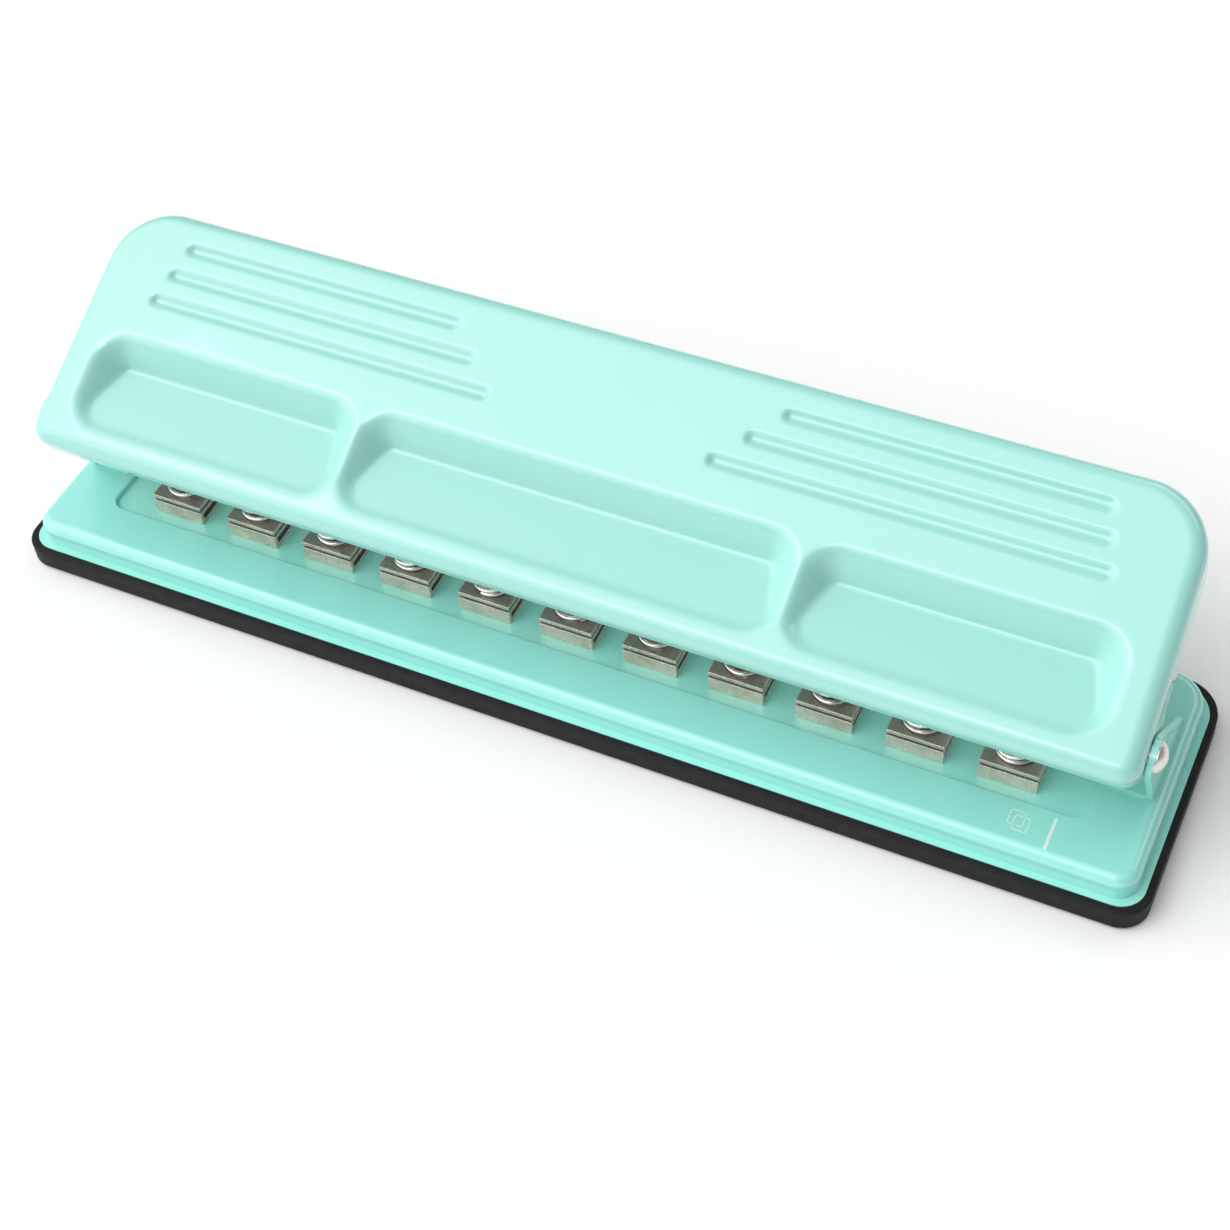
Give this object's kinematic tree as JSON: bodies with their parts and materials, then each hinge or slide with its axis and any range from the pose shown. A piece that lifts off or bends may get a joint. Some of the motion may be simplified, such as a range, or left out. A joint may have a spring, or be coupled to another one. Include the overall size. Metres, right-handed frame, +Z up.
{
  "type": "multi-hole punch",
  "caption": "Long desktop hole punch for disc-bound pages: a pressed lever with finger pockets over a row of sprung mushroom punches, on a plate with a black chip tray.",
  "frame": {"origin": "middle of the footprint, on the plane the feet rest on", "axes": "+X along the row of punches, +Y from the paper side to the back, +Z up"},
  "size_m": [0.3412, 0.08, 0.0825],
  "materials": {
    "mint_enamel": "glossy mint enamel",
    "frame_steel": "brushed, slightly stained",
    "pin_steel": "ground",
    "spring_steel": "bright plated wire",
    "washer_steel": "plated",
    "rivet_steel": "satin",
    "washer_nylon": "natural nylon",
    "tray_plastic": "fine-grained black",
    "foot_rubber": "matte"
  },
  "bodies": {
    "base": {"base_plate": "mint_enamel", "pivot_bracket_left": "mint_enamel", "pivot_bracket_right": "mint_enamel", "pivot_rivet_left": "rivet_steel", "pivot_rivet_right": "rivet_steel", "pivot_washer_left": "washer_nylon", "pivot_washer_right": "washer_nylon", "frame_rivets": "rivet_steel", "bracket_rivets": "rivet_steel", "punch_frame_1": "frame_steel", "punch_frame_2": "frame_steel", "punch_frame_3": "frame_steel", "punch_frame_4": "frame_steel", "punch_frame_5": "frame_steel", "punch_frame_6": "frame_steel", "punch_frame_7": "frame_steel", "punch_frame_8": "frame_steel", "punch_frame_9": "frame_steel", "punch_frame_10": "frame_steel", "punch_frame_11": "frame_steel"},
    "tray": {"chip_tray": "tray_plastic", "rubber_feet": "foot_rubber"},
    "lever": {"lever": "mint_enamel"},
    "punch_1": {"punch_pin_1": "pin_steel", "spring_washer_1": "washer_steel", "spring_1": "spring_steel"},
    "punch_2": {"punch_pin_2": "pin_steel", "spring_washer_2": "washer_steel", "spring_2": "spring_steel"},
    "punch_3": {"punch_pin_3": "pin_steel", "spring_washer_3": "washer_steel", "spring_3": "spring_steel"},
    "punch_4": {"punch_pin_4": "pin_steel", "spring_washer_4": "washer_steel", "spring_4": "spring_steel"},
    "punch_5": {"punch_pin_5": "pin_steel", "spring_washer_5": "washer_steel", "spring_5": "spring_steel"},
    "punch_6": {"punch_pin_6": "pin_steel", "spring_washer_6": "washer_steel", "spring_6": "spring_steel"},
    "punch_7": {"punch_pin_7": "pin_steel", "spring_washer_7": "washer_steel", "spring_7": "spring_steel"},
    "punch_8": {"punch_pin_8": "pin_steel", "spring_washer_8": "washer_steel", "spring_8": "spring_steel"},
    "punch_9": {"punch_pin_9": "pin_steel", "spring_washer_9": "washer_steel", "spring_9": "spring_steel"},
    "punch_10": {"punch_pin_10": "pin_steel", "spring_washer_10": "washer_steel", "spring_10": "spring_steel"},
    "punch_11": {"punch_pin_11": "pin_steel", "spring_washer_11": "washer_steel", "spring_11": "spring_steel"}
  },
  "joints": [
    {"name": "lever_press", "type": "hinge", "parent": "base", "child": "lever", "pos_m": [0, -0.0183, 0.0453], "axis": [-1, 0, 0], "range_deg": [0, 22], "stiffness_Nm_per_rad": 0.9, "springref_deg": -28.65},
    {"name": "tray_release", "type": "slide", "parent": "base", "child": "tray", "axis": [0, 0, -1], "range_m": [0, 0.03]},
    {"name": "pin_stroke_1", "type": "slide", "parent": "base", "child": "punch_1", "axis": [0, 0, -1], "range_m": [0, 0.0034], "deforming": ["spring_1"]},
    {"name": "pin_stroke_2", "type": "slide", "parent": "base", "child": "punch_2", "axis": [0, 0, -1], "range_m": [0, 0.0034], "deforming": ["spring_2"]},
    {"name": "pin_stroke_3", "type": "slide", "parent": "base", "child": "punch_3", "axis": [0, 0, -1], "range_m": [0, 0.0034], "deforming": ["spring_3"]},
    {"name": "pin_stroke_4", "type": "slide", "parent": "base", "child": "punch_4", "axis": [0, 0, -1], "range_m": [0, 0.0034], "deforming": ["spring_4"]},
    {"name": "pin_stroke_5", "type": "slide", "parent": "base", "child": "punch_5", "axis": [0, 0, -1], "range_m": [0, 0.0034], "deforming": ["spring_5"]},
    {"name": "pin_stroke_6", "type": "slide", "parent": "base", "child": "punch_6", "axis": [0, 0, -1], "range_m": [0, 0.0034], "deforming": ["spring_6"]},
    {"name": "pin_stroke_7", "type": "slide", "parent": "base", "child": "punch_7", "axis": [0, 0, -1], "range_m": [0, 0.0034], "deforming": ["spring_7"]},
    {"name": "pin_stroke_8", "type": "slide", "parent": "base", "child": "punch_8", "axis": [0, 0, -1], "range_m": [0, 0.0034], "deforming": ["spring_8"]},
    {"name": "pin_stroke_9", "type": "slide", "parent": "base", "child": "punch_9", "axis": [0, 0, -1], "range_m": [0, 0.0034], "deforming": ["spring_9"]},
    {"name": "pin_stroke_10", "type": "slide", "parent": "base", "child": "punch_10", "axis": [0, 0, -1], "range_m": [0, 0.0034], "deforming": ["spring_10"]},
    {"name": "pin_stroke_11", "type": "slide", "parent": "base", "child": "punch_11", "axis": [0, 0, -1], "range_m": [0, 0.0034], "deforming": ["spring_11"]}
  ],
  "couplings": [
    {"joint": "pin_stroke_1", "follows": "lever_press", "m_per_rad": 0.0085},
    {"joint": "pin_stroke_2", "follows": "lever_press", "m_per_rad": 0.0085},
    {"joint": "pin_stroke_3", "follows": "lever_press", "m_per_rad": 0.0085},
    {"joint": "pin_stroke_4", "follows": "lever_press", "m_per_rad": 0.0085},
    {"joint": "pin_stroke_5", "follows": "lever_press", "m_per_rad": 0.0085},
    {"joint": "pin_stroke_6", "follows": "lever_press", "m_per_rad": 0.0085},
    {"joint": "pin_stroke_7", "follows": "lever_press", "m_per_rad": 0.0085},
    {"joint": "pin_stroke_8", "follows": "lever_press", "m_per_rad": 0.0085},
    {"joint": "pin_stroke_9", "follows": "lever_press", "m_per_rad": 0.0085},
    {"joint": "pin_stroke_10", "follows": "lever_press", "m_per_rad": 0.0085},
    {"joint": "pin_stroke_11", "follows": "lever_press", "m_per_rad": 0.0085}
  ]
}
